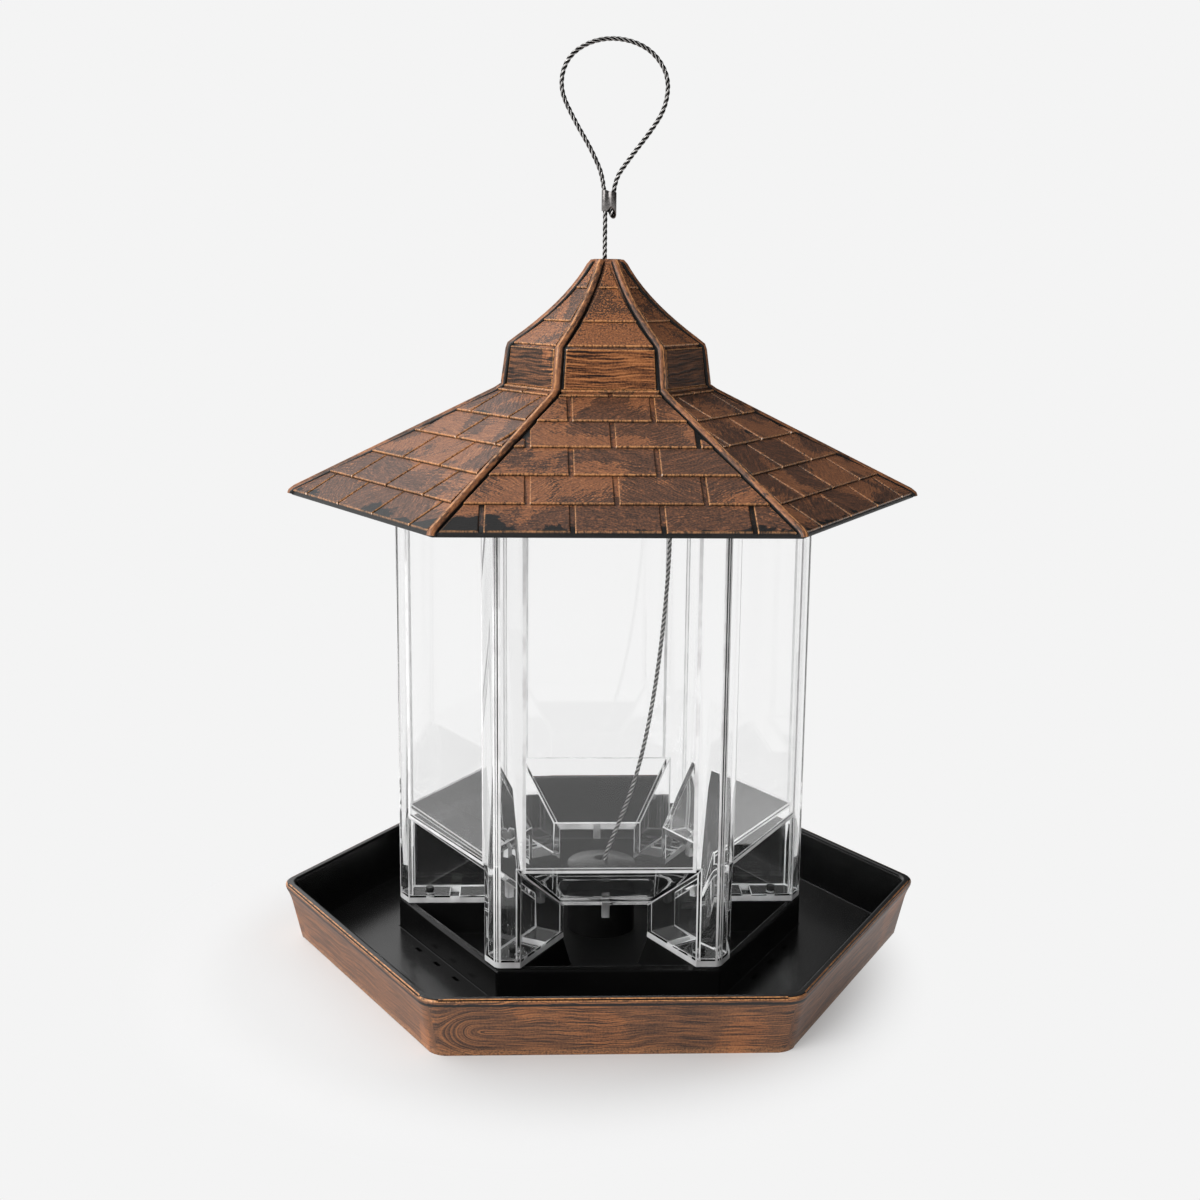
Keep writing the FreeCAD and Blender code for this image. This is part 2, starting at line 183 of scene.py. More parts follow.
def mottled(name, look):
    # a surface in two soft tones: its gloss follows them, and its relief too where it has no finer grit
    material, tree, skin = startMaterial(name)
    place = add(tree, "TexCoord").outputs["Object"]
    mottle = add(tree, "TexNoise", {"Vector": place, "Scale": per(look["mottle"]), "Detail": look["detail"]})
    height = mottle
    if "grit" in look:
        height = add(tree, "TexNoise", {"Vector": place, "Scale": per(look["grit"]), "Detail": 2.0})
    tone = add(tree, "ValToRGB", {"Fac": mottle}, stops=zip(look["stops"], look["tones"]))
    # the grooves between the wires get painted shade
    if "grooveShade" in look:
        groove = add(tree, "Attribute", attribute_name="groove").outputs["Fac"]
        tone = add(tree, "Mix", {"Factor": groove, 6: tone, 7: linear(look["grooveShade"])}, data_type="RGBA")
    setInputs(tree, skin, {"Base Color": tone, **look["skin"]})
    if "gloss" in look:
        low, high = look["gloss"]
        gloss = add(tree, "MapRange", {"Value": mottle, "To Min": low, "To Max": high})
        setInputs(tree, skin, {"Roughness": gloss})
    if "relief" in look:
        strength, depth = look["relief"]
        relief = add(tree, "Bump", {"Height": height, "Strength": strength, "Distance": depth * mm})
        setInputs(tree, skin, {"Normal": relief})
    return material


# How the paint lies on each part: coats from the grain's hollows to its crests, sizes of grain, strokes and patches.
roofLook = {"thin": ("#37251b", "#533728", "#6e4731", "#9b6341"), "thick": ("#64402a", "#855436", "#965f3c", "#b87c50"),
            "stops": (0.39, 0.47, 0.55, 0.65), "edge": "#e9a76c", "plastic": "#0d0c0c", "pebble": 0.6,
            "stroke": (5, 0.5), "strokeShare": 0.5, "sweep": 14, "sway": 5, "knot": None, "patch": 26,
            "thickFrom": 0.515, "thickFade": 0.03, "lost": 30, "lostFrom": 0.70, "lostFade": 0.015, "thinning": 0.3,
            "chipping": 1.0, "ragged": 0.2, "even": 0.51, "missShadeRagged": 1.5, "missedAndShaded": (0.3, 0.6),
            "rubHighlightGrain": (0.36, 0.6), "leastRubHighlight": 0.1, "relief": 0.25, "bump": 0.6, "glint": "#fff0e2",
            "dull": (0.56, 0.4), "polished": 0.24, "shine": 0.55}
cupolaLook = dict(roofLook, thin=("#3a271c", "#523524", "#6a442d", "#925e39"),
                  thick=("#5a3822", "#855130", "#9a5f37", "#b87747"), strokeShare=0.3, thickFrom=0.43, patch=22)
drumLook = dict(cupolaLook, thin=("#17110d", "#352318", "#5f3d27", "#8b5936"),
                thick=("#2c1c14", "#6a422a", "#955d38", "#c07e4d"), stroke=(14, 0.62), strokeShare=0.8, sweep=26,
                sway=4, stops=(0.42, 0.47, 0.52, 0.59), thinning=1.0, chipping=0.4, relief=0.5, shine=0.2)
trayLook = dict(roofLook, thin=("#30211a", "#573b2a", "#7c5135", "#a56c42"),
                thick=("#4c3020", "#7d4e2f", "#98603a", "#b87848"), stops=(0.40, 0.46, 0.52, 0.60), edge="#e6a46a",
                stroke=(15, 0.42), strokeShare=0.8, sweep=40, sway=9, knot=(-35, 8), knotSize=(15, 7), patch=34,
                thickFrom=0.60, lostFrom=0.85, thinning=1.0, chipping=0.0, relief=0.22)
roofPaint = brushedCopper("copper_brushed_roof", roofLook)
cupolaPaint = brushedCopper("copper_brushed_cupola", cupolaLook)
drumPaint = brushedCopper("copper_brushed_drum", drumLook)
trayPaint = brushedCopper("copper_brushed_tray", trayLook)

# Polypropylene, moulded black: satin, with the faint cloudiness and fine scuffs of a handled moulding.
blackLook = {"mottle": 24, "detail": 4.0, "stops": (0.3, 0.7), "tones": ("#080808", "#0e0e0e"), "gloss": (0.14, 0.3),
             "grit": 0.8, "relief": (0.015, 0.05), "skin": {"IOR": 1.49}}
blackPlastic = mottled("moulded_black_polypropylene", blackLook)

# The same plastic from an eroded patch of the mould, dull and dusty: hardly mirrors anything.
dullLook = {"mottle": 12, "detail": 4.0, "stops": (0.3, 0.7), "tones": ("#070707", "#0f0f0f"), "gloss": (0.5, 0.7),
            "skin": {"Specular IOR Level": 0.15}}
dullPlastic = mottled("dull_black_polypropylene", dullLook)

# The styrene's rounded edges and feet are painted white for the light they gather inside the wall; where a wall is
# cut off square it is seen along the wall, and is painted grey for the shade seen there.
glowEdgeLook = {"mottle": 9, "detail": 3.0, "stops": (0.35, 0.55), "tones": ("#e2e0e1", "#ffffff"),
            "skin": {"Roughness": 0.25, "IOR": 1.5, "Transmission Weight": 0.25}}
shadeEndLook = {"mottle": 6, "detail": 3.0, "stops": (0.35, 0.65), "tones": ("#6e6e6e", "#a0a0a0"),
           "skin": {"Roughness": 0.05, "IOR": 1.3, "Transmission Weight": 0.9}}
clearPlastic = clearStyrene()
paintedGlowEdge = mottled("clear_styrene_painted_glow", glowEdgeLook)
paintedShadeEnd = mottled("clear_styrene_painted_shade", shadeEndLook)

# Stainless steel wire, drawn and laid up as rope: grey, with long soft highlights and painted shade between the wires.
wireLook = {"mottle": 2.5, "detail": 3.0, "stops": (0.3, 0.7), "tones": ("#8c8a88", "#c8c6c4"), "grooveShade": "#0e0d0d",
            "gloss": (0.28, 0.4), "skin": {"Metallic": 1.0, "Specular Tint": linear("#8f8f8f")}}   # flanks stay grey
ropeSteel = mottled("drawn_stainless_wire", wireLook)

# Aluminium pressed in a die, and zinc plated on steel: dull silver, with fine pressing marks.
pressedLook = {"mottle": 0.7, "detail": 4.0, "stops": (0.3, 0.7), "tones": ("#6f6c6b", "#989492"),
               "gloss": (0.36, 0.5), "relief": (0.15, 0.05), "skin": {"Metallic": 1.0}}
crimpAluminium = mottled("pressed_aluminium", pressedLook)
# the inside of the sleeve's bore is painted near black as the shade down in it
boreShade = mottled("aluminium_painted_bore_shade", dict(pressedLook, mottle=0.5, tones=("#151311", "#2b2622")))
zincPlate = mottled("zinc_plated_steel", dict(pressedLook, mottle=1.2, tones=("#86888a", "#b4b7b8")))
print("materials made")


def piece(name, mesh, materials, body, stoodFor, smooth=30, flatFaces=False):
    thing = intoScene(name, mesh)
    for material in materials:
        mesh.materials.append(material)
    mesh.shade_smooth()
    mesh.set_sharp_from_angle(angle=math.radians(smooth))
    if flatFaces:
        level = thing.modifiers.new("level_faces", "WEIGHTED_NORMAL")   # keeps large faces flat beside small radii
        level.weight = 100
        level.keep_sharp = True
    if body:
        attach(thing, body)
    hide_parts(*stoodFor)
    return thing


def toMesh(bm, name):
    bmesh.ops.recalc_face_normals(bm, faces=bm.faces)
    mesh = bpy.data.meshes.new(name)
    bm.to_mesh(mesh)
    bm.free()
    return mesh


# The camera of the photograph, found from the feeder's corners: angles in degrees, lengths in millimetres.
shot = {"lens": 47.81, "turn": -2.378, "rise": 11.205, "roll": 0.581, "distance": 519.32,
        "aimSide": -1.237, "aimHeight": 114.92}


def placeCamera():
    data = bpy.data.cameras.new("camera")
    data.lens = shot["lens"]
    data.sensor_width = 36
    data.clip_start = 0.01
    camera = intoScene("camera", data)
    bpy.context.scene.camera = camera
    turn, rise, roll = (math.radians(shot[name]) for name in ("turn", "rise", "roll"))
    back = Vector((math.sin(turn) * math.cos(rise), -math.cos(turn) * math.cos(rise), math.sin(rise)))
    right = Vector((math.cos(turn), math.sin(turn), 0))
    up = back.cross(right)
    aim = right * shot["aimSide"] * mm + Vector((0, 0, shot["aimHeight"] * mm))
    facing = Matrix((right, up, back)).transposed().to_4x4() @ Matrix.Rotation(roll, 4, "Z")
    camera.matrix_world = Matrix.Translation(aim + back * shot["distance"] * mm) @ facing


placeCamera()


# One wire rope from the stop under the post to the tail of its loop, as (side, height) points. Real rope has
# six strands; it is drawn with three, coarse enough to show through the panes as well.
rope = {"width": 1.4, "lay": 5.6, "strands": 3, "start": 0.17, "strandSides": 10, "ring": 0.4,
        "strand": 1.4 / 4.4, "core": 0.9, "spread": 1.3, "grooveShade": (2.2, 0.35),
        "inner": [(0, 15.2), (0, 24.2), (4.9, 36.5), (10.8, 52.5), (14.9, 70.5), (18, 91), (20.2, 113),
                  (21.4, 135), (20.9, 155), (18.6, 173), (14.6, 188), (9, 200.5), (2.8, 210.5), (-0.85, 218.5),
                  (-0.85, 223.6)],
        "loop": [(-0.85, 246.5), (-4.8, 255.8), (-11, 265.8), (-15.3, 274.8), (-13.1, 283.7), (-5.3, 288.9),
                 (4.3, 289.6), (13.1, 286.2), (18.4, 278.5), (17.5, 269.2), (12.7, 261.8), (6.3, 253.8),
                 (1.25, 246.4), (1.25, 236.6)]}


def ropeLine():
    curve = bpy.data.curves.new("rope_line", "CURVE")
    curve.dimensions = "3D"
    spline = curve.splines.new("NURBS")
    route = rope["inner"] + rope["loop"]
    spline.points.add(len(route) - 1)
    for point, (x, z) in zip(spline.points, route):
        point.co = (x * mm, 0, z * mm, 1)
    spline.order_u = 3
    spline.use_endpoint_u = True
    spline.resolution_u = 24
    holder = intoScene("rope_line", curve)
    bpy.context.view_layer.update()
    mesh = bpy.data.meshes.new_from_object(holder.evaluated_get(bpy.context.evaluated_depsgraph_get()))
    line = [v.co.copy() for v in mesh.vertices]
    bpy.data.objects.remove(holder)
    return line


def evenSteps(line, step):
    # points along the line a fixed step apart, each with its distance from the start
    run, distance, places = 0.0, 0.0, [(line[0], 0.0)]
    for a, b in zip(line, line[1:]):
        reach = (b - a).length
        while distance + step <= run + reach:
            distance += step
            places.append((a.lerp(b, (distance - run) / reach), distance))
        run += reach
    return places, run


def joinRings(bm, rings, closed=False):
    # faces from ring to ring, and either over both ends or from the last ring back to the first
    faces = []
    for low, high in zip(rings, rings[1:] + (rings[:1] if closed else [])):
        for k in range(len(low)):
            faces.append(bm.faces.new((low[k - 1], low[k], high[k], high[k - 1])))
    if not closed:
        bm.faces.new(reversed(rings[0]))
        bm.faces.new(rings[-1])
    return faces


def tube(bm, centres, radius, count):
    # a closed round tube through the centres, whose rings keep one side towards a fixed direction
    rings = []
    for n, centre in enumerate(centres):
        heading = (centres[min(n + 1, len(centres) - 1)] - centres[max(n - 1, 0)]).normalized()
        across = heading.orthogonal() if n == 0 else (across - heading * across.dot(heading))
        across.normalize()
        over = heading.cross(across)
        rings.append([bm.verts.new(centre + (across * math.cos(a) + over * math.sin(a)) * radius)
                      for a in (math.tau * k / count for k in range(count))])
    joinRings(bm, rings)


def wireRope():
    line = ropeLine()
    places, length = evenSteps(line, rope["ring"] * mm)
    strand = rope["strand"] * mm
    bm = bmesh.new()
    groove = bm.verts.layers.float.new("groove")
    tube(bm, [place for place, distance in places], strand * rope["core"], rope["strandSides"])
    sideways = Vector((0, 1, 0))
    for n in range(rope["strands"]):
        centres = []
        for k, (place, distance) in enumerate(places):
            after, before = places[min(k + 1, len(places) - 1)][0], places[max(k - 1, 0)][0]
            inward = (after - before).normalized().cross(sideways)
            angle = math.tau * (n / rope["strands"] + distance / (rope["lay"] * mm) + rope["start"])
            centres.append(place + (sideways * math.cos(angle) + inward * math.sin(angle)) * strand * rope["spread"])
        tube(bm, centres, strand, rope["strandSides"])
    # the darkening towards the grooves between the strands is painted shade
    clean, fade = rope["grooveShade"]   # in strand radii from the middle
    for n, vert in enumerate(bm.verts):
        centre = places[n // rope["strandSides"] % len(places)][0]
        vert[groove] = min(max((clean - (vert.co - centre).length / strand) / fade, 0.0), 1.0)
    thing = piece("wire_rope", toMesh(bm, "wire_rope"), [ropeSteel], None,
                  ("cable_inner", "cable_loop"), 60)
    return thing, line, length


wire, wireLine, wireLength = wireRope()
print("rope laid up,", round(wireLength / mm, 1), "mm")


# The crimp sleeve: a soft metal tube pressed round both ropes, its tail side lower than its neck side.
sleeve = {"neckSide": -0.85, "tailSide": 1.2, "neckRadius": 1.15, "tailRadius": 1.42, "neckFoot": 238.2,
          "tailFoot": 237.7, "neckTop": 244.5, "tailTop": 243.9, "waist": 0.95, "edge": 0.2, "bore": 0.34,
          "footSlant": (-0.6, -1.2), "slantFrom": 0.6, "arcSteps": 7, "arcStep": 16}


def crimpSleeve():
    def outline(shrink):
        # a figure of eight round the two bores, with a soft waist between them
        middle = (sleeve["neckSide"] + sleeve["tailSide"]) / 2
        ring = []
        for side, radius, facing in (("tail", sleeve["tailRadius"], 0), ("neck", sleeve["neckRadius"], math.pi)):
            for step in range(-sleeve["arcSteps"], sleeve["arcSteps"] + 1):
                a = facing + step * math.radians(sleeve["arcStep"])
                x = sleeve[side + "Side"] + (radius - shrink) * math.cos(a)
                y = (radius - shrink) * math.sin(a)
                ring.append((x, y))
            ring.append((middle, (sleeve["waist"] - shrink) * (1 if side == "tail" else -1)))
        return ring

    def level(x, neck, tail):
        share = (x - sleeve["neckSide"]) / (sleeve["tailSide"] - sleeve["neckSide"])
        share = min(max(share, 0), 1)
        return neck + (tail - neck) * share * share * (3 - 2 * share)

    def foot(x, y):
        # the tail's end is cut aslant, higher at the front and towards the neck
        cutX, cutY = sleeve["footSlant"]
        share = min(max(x - sleeve["neckSide"] - sleeve["slantFrom"], 0), 1)
        cut = (x - sleeve["tailSide"]) * cutX + y * cutY
        return level(x, sleeve["neckFoot"], sleeve["tailFoot"]) + cut * share

    bm = bmesh.new()
    bore = sleeve["bore"]
    loops = []
    for shrink, rise in ((bore, 0.0), (sleeve["edge"] / 2, 0.0), (0.0, sleeve["edge"])):
        loops.append([(x, y, foot(x, y) + rise) for x, y in outline(shrink)])
    for shrink, rise in ((0.0, sleeve["edge"]), (sleeve["edge"] / 2, 0.0), (bore, 0.0)):
        loops.append([(x, y, level(x, sleeve["neckTop"], sleeve["tailTop"]) - rise) for x, y in outline(shrink)])
    rings = [[bm.verts.new(Vector(p) * mm) for p in loop] for loop in loops]
    for face in joinRings(bm, rings, closed=True)[-len(rings[0]):]:
        face.material_index = 1   # painted shade, near black, in the bore
    return piece("crimp_sleeve", toMesh(bm, "crimp_sleeve"), [crimpAluminium, boreShade], "hanger",
                 ("loop_ferrule",), 40)


crimp = crimpSleeve()
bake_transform(wire)
tuple(wireLine[0])
[tuple(p) for p in wireLine]
for node, material in (("cable_stop", crimpAluminium), ("stop_washer", zincPlate)):
    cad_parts[node].data.materials.clear()
    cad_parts[node].data.materials.append(material)


# The roof: a moulded shell with lapped shingles on its skirt, panels on its drum and cupola, and ridge beads.
roof = {"eaveCorner": 100.2, "eave": 149.0, "skirtFoot": 150.4, "drumFootCorner": 32.2, "drumFoot": 183.9,
        "drumTopCorner": 30.7, "drumTop": 196.7, "apexCorner": 4.2, "apex": 223.6, "cupolaDip": 3.2,
        "wall": 2.0, "skirtWall": 2.4, "bore": 2.7, "apexDeck": 3.0, "eaveWidth": 2.0, "skirtStep": 6.0,
        "eaveRound": [(-0.35, -1.4), (0.0, -1.1), (0.0, -0.25), (-0.4, 0.2)],   # out and up from the skirt's foot
        # per side, how strongly the tiles' ends are rubbed and painted with highlight: weaker on the right-facing
        # sides, which lie in shade; glint is the rub that gives a tile's corner a painted white glint
        "footPolish": (0.5, 0.7), "jointRubAndLight": (0.9, 0.45, 0.5, 0.9, 0.8, 0.8), "leftSides": (4, 5), "glint": 2.0,
        "glintFrom": 0.3, "edgeShare": 0.4, "sideGrain": 100, "leanGrain": 40,   # sides and tiles differ in grain
        "courseLines": [0.05, 12.0, 25.3, 38.8, 51.9, 65.0, 67.3], "lowerLift": 0.95, "upperLift": 0.3,
        "joint": 1.35, "shingle": 24.6, "beadRadius": 1.4, "beadSink": 0.2, "beadGap": 0.75,
        "footLift": 0.5, "least": 0.8, "cupolaLines": [0.02, 0.285, 0.66, 0.985], "panelLift": 0.55, "panelTilt": 0.25,
        "lean": 0.8, "footWear": (0.24, -0.06), "ridgeRoom": 1.5, "drumGap": (0.9, 0.05), "tipLeast": 0.35,
        "cupolaCells": 6,
        "drumWear": [-0.12, 0.2, 0.05, 0.0, 0.1, 0.1], "drumCalm": [0.1, 0.5, 0.3, 0.1, 0.3, 0.35],
        "seatCorner": 69.3, "hopperTop": 162.4, "ringCorner": 64.9, "ringInner": 63.1, "ringFoot": 156.4}


def onLine(a, b):
    # the profile between two (corner, height) points: flat distance, height and outward normal at a run along it
    (r0, z0), (r1, z1) = [(corner * slant, z) for corner, z in (a, b)]
    length = math.hypot(r1 - r0, z1 - z0)
    normal = ((z1 - z0) / length, (r0 - r1) / length)

    def at(run):
        share = run / length
        return r0 + (r1 - r0) * share, z0 + (z1 - z0) * share, normal
    return at, length


def cupolaCorner(share):
    middle = (roof["drumTopCorner"] + roof["apexCorner"]) / 2 - roof["cupolaDip"]
    low, high = roof["drumTopCorner"], roof["apexCorner"]
    bend = 2 * (low + high) - 4 * middle
    return low + (high - low - bend) * share + bend * share * share


def cupolaPoint(share, inset=0.0):
    return cupolaCorner(share) - inset, roof["drumTop"] + (roof["apex"] - roof["drumTop"]) * share


def cupolaAt(share):
    rise = roof["apex"] - roof["drumTop"]
    step = 0.001
    drop = (cupolaCorner(share + step) - cupolaCorner(share - step)) * slant / (2 * step)
    length = math.hypot(rise, drop)
    return cupolaCorner(share) * slant, roof["drumTop"] + rise * share, (rise / length, -drop / length)


skirtAt = onLine((roof["eaveCorner"], roof["skirtFoot"]), (roof["drumFootCorner"], roof["drumFoot"]))[0]
drumAt, drumRun = onLine((roof["drumFootCorner"], roof["drumFoot"]), (roof["drumTopCorner"], roof["drumTop"]))


def turned(side, x, y, z):
    c, s = math.cos(side * sixth), math.sin(side * sixth)
    return Vector((x * c - y * s, x * s + y * c, z)) * mm


# Steps over a tile's edge: how far in, how deep, and how the paint lies there. Light comes from the left, so a tile's
# left and lower edges are rubbed and painted with highlight and its right and upper edges are bare and painted dark as
# shade.
edgeSteps = [(0.0, -0.9), (0.0, -0.34), (0.08, -0.1), (0.22, 0.0), (0.45, 0.0)]
edgePaint = {"lower": {"rubAndHighlight": (0.0, 0.5, 1.0, 0.5, 0.0), "bareAndShade": (1.0, 0.3, 0.0, 0.0, 0.0)},
             "upper": {"rubAndHighlight": (0.0, 0.0, 0.0, 0.0, 0.0), "bareAndShade": (1.0, 1.0, 0.95, 0.6, 0.0)},
             "crest": {"rubAndHighlight": (0.0, 0.5, 1.0, 0.4, 0.0), "bareAndShade": (1.0, 0.4, 0.0, 0.0, 0.0)},
             "left": {"rubAndHighlight": (0.0, 0.4, 1.0, 0.35, 0.0), "bareAndShade": (0.8, 0.0, 0.0, 0.0, 0.0)},
             "right": {"rubAndHighlight": (0.0, 0.0, 0.15, 0.0, 0.0), "bareAndShade": (1.0, 1.0, 0.8, 0.35, 0.0)},
             "ridge": {"rubAndHighlight": (0.0, 0.1, 0.5, 0.2, 0.0), "bareAndShade": (1.0, 1.0, 0.3, 0.0, 0.0)}}


def slab(bm, layers, side, at, rows, left, right, lifts, kinds, cells=3, paint=0, upper="upper", wear=(0.0, 0.0),
         lean=0.0, rubLightScale=(1.0, 1.0), calm=0.0):
    # a moulded tile on one side of the roof, from the profile's rows[0] to rows[1], rounded at its edges.
    # wear is how thin its paint is at its foot and head, lean the slant of its grain, the rub scales how strongly
    # its foot and its ends are rubbed and painted with highlight, and calm how even its grain is.
    (low, high), (lowLift, highLift) = rows, lifts
    cosLean, sinLean = math.cos(lean), math.sin(lean)
    scale = high - low
    perRun = scale / math.dist(at(low)[:2], at(high)[:2])   # profile units for a millimetre of slope

    def steps(kind):
        lies = edgePaint[kind]
        return [(d, drop, rubAndHighlight, bareAndShade) for (d, drop), rubAndHighlight, bareAndShade in zip(edgeSteps, lies["rubAndHighlight"], lies["bareAndShade"])]

    inset = [(low + d * perRun, drop, rubAndHighlight, bareAndShade) for d, drop, rubAndHighlight, bareAndShade in steps("lower")]
    middle = [(low + scale * k / cells, 0.0, 0.0, 0.0) for k in range(1, cells)]
    outset = [(high - d * perRun, drop, rubAndHighlight, bareAndShade) for d, drop, rubAndHighlight, bareAndShade in reversed(steps(upper))]
    runs = inset + [m for m in middle if inset[-1][0] < m[0] < outset[0][0]] + outset
    grid = []
    for run, dropRun, rubLightRun, bareShadeRun in runs:
        flat, z, (outR, outZ) = at(run)
        lift = lowLift + (highLift - lowLift) * (run - low) / scale
        u0, u1 = left(run), right(run)
        tight = min(1.0, (u1 - u0) * roof["edgeShare"] / edgeSteps[-1][0])
        across = [(u0 + d * tight, drop, rubAndHighlight, bareAndShade) for d, drop, rubAndHighlight, bareAndShade in steps(kinds[0])]
        across += [((u0 + u1) / 2, 0.0, 0.0, 0.0)]
        across += [(u1 - d * tight, drop, rubAndHighlight, bareAndShade) for d, drop, rubAndHighlight, bareAndShade in reversed(steps(kinds[1]))]
        row = []
        for u, dropU, rubLightU, bareShadeU in across:
            h = lift + min(dropRun, dropU)
            vert = bm.verts.new(turned(side, u, -(flat + h * outR), z + h * outZ))
            up = run / perRun
            vert[layers["grainPlace"]] = Vector((u * cosLean - up * sinLean, u * sinLean + up * cosLean,
                                                 roof["sideGrain"] * side + roof["leanGrain"] * lean)) * mm
            # a corner rubbed both ways gets a painted white glint
            corner = min(rubLightRun, rubLightU) > roof["glintFrom"]
            vert[layers["rubAndHighlight"]] = roof["glint"] if corner else max(rubLightRun * rubLightScale[0], rubLightU * rubLightScale[1])
            vert[layers["bareAndShade"]] = max(bareShadeRun, bareShadeU)
            vert[layers["worn"]] = wear[0] + (wear[1] - wear[0]) * (run - low) / scale
            vert[layers["calm"]] = calm
            row.append(vert)
        grid.append(row)
    for lowRow, highRow in zip(grid, grid[1:]):
        for k in range(len(lowRow) - 1):
            bm.faces.new((lowRow[k], lowRow[k + 1], highRow[k + 1], highRow[k])).material_index = paint
    edge = grid[0] + [row[-1] for row in grid[1:-1]] + grid[-1][::-1] + [row[0] for row in grid[-2:0:-1]]
    bm.faces.new(edge[::-1])


def ridgeLimit(at):
    # how far a tile reaches from its side's middle before the gap beside the ridge bead
    return lambda run: at(run)[0] * math.tan(sixth / 2) - roof["beadRadius"] - roof["beadGap"]


def shingles(bm, layers, side):
    limit = ridgeLimit(skirtAt)
    lines = roof["courseLines"]
    for n, (low, high) in enumerate(zip(lines, lines[1:])):
        offset = 0.5 if n % 2 == 0 else 0.0
        joints = [(k + offset) * roof["shingle"] for k in range(-3, 3)]
        joints = [u for u in joints if abs(u) < limit(low) - roof["ridgeRoom"]]
        borders = [None] + joints + [None]
        lift = roof["lowerLift"] if n else roof["footLift"]
        for k, (a, b) in enumerate(zip(borders, borders[1:])):
            def left(run):
                return max(a + roof["joint"] / 2, -limit(run)) if a is not None else -limit(run)

            def right(run):
                return min(b - roof["joint"] / 2, limit(run)) if b is not None else limit(run)

            top = high
            while right(top) - left(top) < roof["least"] and top > low + 1:
                top -= 0.25   # a tile that runs out at the ridge ends where it gets too narrow
            # on the left-facing sides the painted lit and shaded ends swap
            ends = ("right", "left") if side in roof["leftSides"] else ("left", "right")
            kinds = (ends[0] if a is not None else "ridge", ends[1] if b is not None else "ridge")
            lean = roof["lean"] * math.sin(2.1 * side + 1.7 * n + 3.3 * k)   # each tile was brushed its own way
            slab(bm, layers, side, skirtAt, (low, top), left, right, (lift, roof["upperLift"]), kinds,
                 wear=(0.0, 0.0) if n else roof["footWear"], lean=lean,
                 rubLightScale=(roof["footPolish"][n] if n < 2 else 1.0, roof["jointRubAndLight"][side]))


def panels(bm, layers, side):
    limit = ridgeLimit(drumAt)
    below, above = roof["drumGap"]
    slab(bm, layers, side, drumAt, (below, drumRun - above), lambda run: -limit(run), limit,
         (roof["panelLift"], roof["panelLift"]), ("left", "left"), paint=2, upper="crest",
         wear=(roof["drumWear"][side],) * 2, calm=roof["drumCalm"][side])
    limitTop = ridgeLimit(cupolaAt)
    lines = roof["cupolaLines"]
    for low, high in zip(lines, lines[1:]):
        top = high
        while limitTop(top) < roof["tipLeast"]:
            top -= 0.005
        slab(bm, layers, side, cupolaAt, (low, top), lambda run: -limitTop(run), limitTop,
             (roof["panelLift"] + roof["panelTilt"], roof["panelLift"] - roof["panelTilt"]), ("ridge", "ridge"),
             cells=roof["cupolaCells"], paint=1)


def ringAt(bm, layers, corner, z, bareAndShade, count=4, circle=False):
    # a six-sided ring of points, or a round one of that radius
    ring = []
    for n in range(sides * count):
        side, share = n // count, (n % count) / count - 0.5
        if circle:
            a = -math.pi / 2 + (n - count / 2) / count * sixth
            place = Vector((corner * math.cos(a), corner * math.sin(a), z)) * mm
        else:
            place = turned(side, corner * share, -corner * slant, z)
        vert = bm.verts.new(place)
        vert[layers["grainPlace"]] = Vector((corner * share, z, roof["sideGrain"] * side)) * mm
        # the corners, under the ridge beads and in the gaps beside them, are painted black as shade
        vert[layers["bareAndShade"]] = bareAndShade if n % count else max(bareAndShade, 0.95)
        ring.append(vert)
    return ring


def shell(bm, layers):
    # the moulding under the tiles, outside from the eave up and inside back down, with the seat for the hopper
    hang = roof["skirtFoot"] - roof["skirtWall"]
    rise = (roof["drumFoot"] - roof["skirtFoot"]) / (roof["eaveCorner"] - roof["drumFootCorner"])

    def under(corner):
        return hang + (roof["eaveCorner"] - corner) * rise

    innerWall = roof["wall"] / slant
    eave = [(roof["eaveCorner"] + out, roof["skirtFoot"] + up) for out, up in roof["eaveRound"]]
    profile = eave + [(roof["eaveCorner"] - roof["skirtStep"], roof["skirtFoot"] + roof["skirtStep"] * rise),
                      (roof["drumFootCorner"], roof["drumFoot"]), (roof["drumTopCorner"], roof["drumTop"])]
    profile += [cupolaPoint(share) for share in (0.12, 0.25, 0.4, 0.55, 0.7, 0.85, 1.0)]
    inside = [cupolaPoint(share, innerWall) for share in (0.8, 0.6, 0.4, 0.2, 0.0)]
    drumInner = roof["drumFootCorner"] - innerWall
    inside += [(drumInner, under(drumInner + innerWall)), (roof["ringInner"], under(roof["ringInner"])),
               (roof["ringInner"], roof["ringFoot"]), (roof["ringCorner"], roof["ringFoot"]),
               (roof["ringCorner"], roof["hopperTop"]), (roof["seatCorner"], roof["hopperTop"]),
               (roof["seatCorner"], under(roof["seatCorner"])), (roof["eaveCorner"] - roof["eaveWidth"], roof["eave"])]
    rings = [ringAt(bm, layers, *point, bareAndShade=1.0 if point in eave else 0.0) for point in profile]
    rings.append(ringAt(bm, layers, roof["bore"], roof["apex"], 1.0, circle=True))
    rings.append(ringAt(bm, layers, roof["bore"], roof["apex"] - roof["apexDeck"], 1.0, circle=True))
    rings += [ringAt(bm, layers, corner, z, 1.0) for corner, z in inside]
    joinRings(bm, rings, closed=True)


# Round the bead from its crest, in degrees: rubbed and painted with a highlight along the crest, painted black as shade
# down in the gaps beside it.
beadPaint = [(-150, 0.0, 1.0), (-100, 0.0, 1.0), (-74, 0.0, 0.9), (-55, 0.1, 0.0), (-34, 0.05, 0.0), (-14, 0.1, 0.0),
             (0, 1.0, 0.0), (14, 0.1, 0.0), (34, 0.05, 0.0), (55, 0.1, 0.0), (74, 0.0, 0.9), (100, 0.0, 1.0),
             (150, 0.0, 1.0)]


